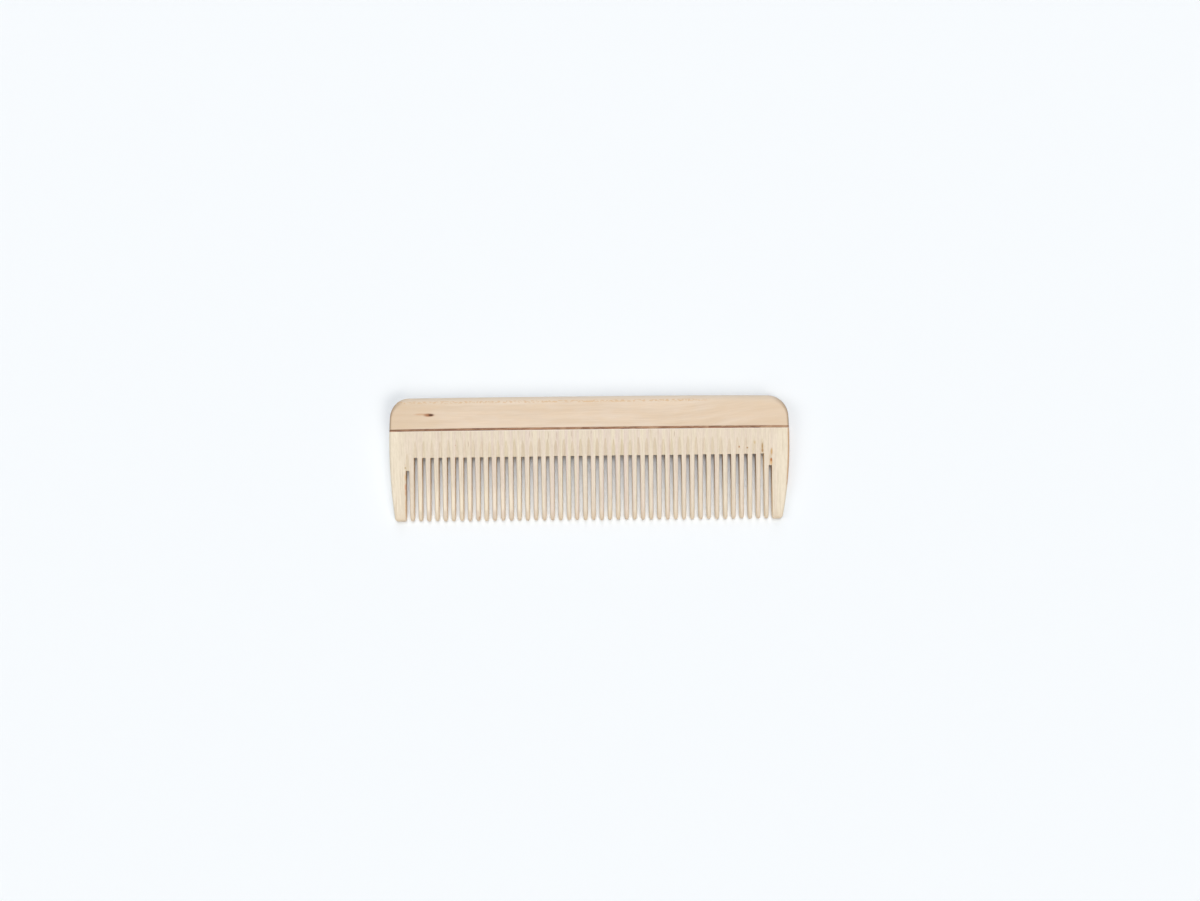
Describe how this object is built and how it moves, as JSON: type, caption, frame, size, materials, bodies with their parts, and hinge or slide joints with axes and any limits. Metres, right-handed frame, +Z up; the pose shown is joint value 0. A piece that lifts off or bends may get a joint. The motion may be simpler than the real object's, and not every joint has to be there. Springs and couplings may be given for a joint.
{
  "type": "pocket comb",
  "caption": "Straight wooden pocket comb with fine even teeth, wider guard teeth at both ends, a rounded back and a thin dark strip between the back and the toothed blade.",
  "frame": {"origin": "middle of the comb's outline on the flat surface that it lies on", "axes": "+X along the comb, +Y across it from the tooth tips towards the back, +Z up out of the upper face"},
  "size_m": [0.122, 0.038, 0.0049],
  "materials": {
    "back_wood": "peach-coloured close-grained wood such as pear, sanded and lightly oiled, grain along the comb",
    "strip_veneer": "dark brown veneer such as walnut, on edge, sanded flush",
    "blade_wood": "pale close-grained wood such as maple, sanded and lightly oiled, grain down the teeth"
  },
  "bodies": {
    "root": {"spine": "back_wood", "inlay_strip": "strip_veneer", "toothed_blade": "blade_wood"}
  },
  "joints": []
}
